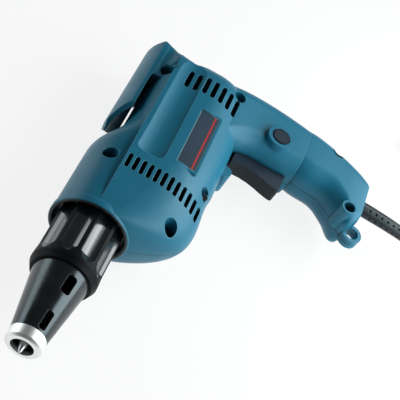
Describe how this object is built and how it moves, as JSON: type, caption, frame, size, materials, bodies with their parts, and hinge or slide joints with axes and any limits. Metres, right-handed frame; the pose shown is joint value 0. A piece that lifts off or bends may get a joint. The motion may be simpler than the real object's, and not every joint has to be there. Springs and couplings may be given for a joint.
{
  "type": "drywall screwdriver",
  "caption": "Corded pistol-grip drywall screwdriver with a depth-setting nose cone, fluted locking sleeve, belt hook, trigger, lock button and a mains cord wound in a coil.",
  "frame": {"origin": "On the spindle axis, at the front plane of the depth locator's steel tip.", "axes": "-X runs out of the nose towards the work, +Y is the tool's top with the belt hook, and +Z is the tool's left side. The tool lies on its right side, with the floor below it at -Z."},
  "size_m": [0.3873, 0.4033, 0.0618],
  "materials": {
    "housing": "moulded teal-blue glass-filled plastic, satin",
    "black_plastic": "moulded black plastic, satin",
    "plate": "bare dark plate with one red line",
    "tip_metal": "turned steel",
    "steel": "ground steel",
    "laminations": "stacked steel sheet",
    "cast_alloy": "die-cast alloy",
    "bronze": "sintered bronze, copper and brass",
    "winding": "enamelled copper wire",
    "carbon": "carbon",
    "fan_plastic": "moulded black plastic",
    "rubber": "black rubber"
  },
  "bodies": {
    "housing": {"housing_left": "housing", "housing_right": "housing", "belt_hook": "housing", "side_plate": "plate", "nose_bearing": "cast_alloy", "spindle_bush": "bronze", "thrust_washer": "steel", "bearing_plate": "cast_alloy", "front_bearing": "steel", "rear_bearing": "steel", "bearing_boot": "rubber", "field_core": "laminations", "field_coil_left": "winding", "field_coil_right": "winding", "carbon_brush_left": "carbon", "carbon_brush_right": "carbon", "brush_holder_left": "bronze", "brush_holder_right": "bronze", "switch_body": "black_plastic", "cord_lead": "rubber", "cord_clamp": "black_plastic", "cord_guard": "rubber", "cord": "rubber", "cord_coil": "rubber", "plug_body": "rubber", "plug_blade_upper": "bronze", "plug_blade_lower": "bronze"},
    "depth_carrier": {"locator_seal": "rubber"},
    "sleeve": {"lock_sleeve": "black_plastic"},
    "locator": {"depth_locator": "black_plastic", "tip_ring": "tip_metal"},
    "armature": {"armature_shaft": "steel", "motor_pinion": "steel", "armature_core": "laminations", "armature_winding_front": "winding", "armature_winding_rear": "winding", "commutator": "bronze", "cooling_fan": "fan_plastic"},
    "gear": {"drive_gear": "steel", "clutch_spring": "steel"},
    "spindle": {"spindle": "steel", "bit_retainer": "steel", "screw_bit": "steel"},
    "trigger": {"trigger": "black_plastic"},
    "lock_button": {"lock_button": "black_plastic"}
  },
  "joints": [
    {"name": "armature_spin", "type": "hinge", "parent": "housing", "child": "armature", "pos_m": [0.16, -0.0279, 0], "axis": [1, 0, 0], "continuous": true},
    {"name": "gear_spin", "type": "hinge", "parent": "housing", "child": "gear", "pos_m": [0.115, 0, 0], "axis": [1, 0, 0], "continuous": true},
    {"name": "spindle_push", "type": "slide", "parent": "gear", "child": "spindle", "axis": [1, 0, 0], "range_m": [0, 0.004], "stiffness_N_per_m": 1500, "springref_m": -0.006, "deforming": ["clutch_spring"]},
    {"name": "depth_slide", "type": "slide", "parent": "housing", "child": "depth_carrier", "axis": [-1, 0, 0], "range_m": [-0.00151, 0.00151]},
    {"name": "sleeve_turn", "type": "hinge", "parent": "depth_carrier", "child": "sleeve", "pos_m": [0.08, 0, 0], "axis": [-1, 0, 0], "range_deg": [-360, 360]},
    {"name": "locator_pull", "type": "slide", "parent": "depth_carrier", "child": "locator", "axis": [-1, 0, 0], "range_m": [0, 0.075]},
    {"name": "trigger_pull", "type": "slide", "parent": "housing", "child": "trigger", "axis": [1, 0, 0], "range_m": [0, 0.0065], "stiffness_N_per_m": 600, "springref_m": -0.008},
    {"name": "lock_push", "type": "slide", "parent": "housing", "child": "lock_button", "axis": [0, 0, -1], "range_m": [0, 0.003], "stiffness_N_per_m": 400, "springref_m": -0.004}
  ],
  "couplings": [
    {"joint": "gear_spin", "follows": "armature_spin", "ratio": -0.19231},
    {"joint": "depth_slide", "follows": "sleeve_turn", "m_per_rad": 0.00023873}
  ]
}
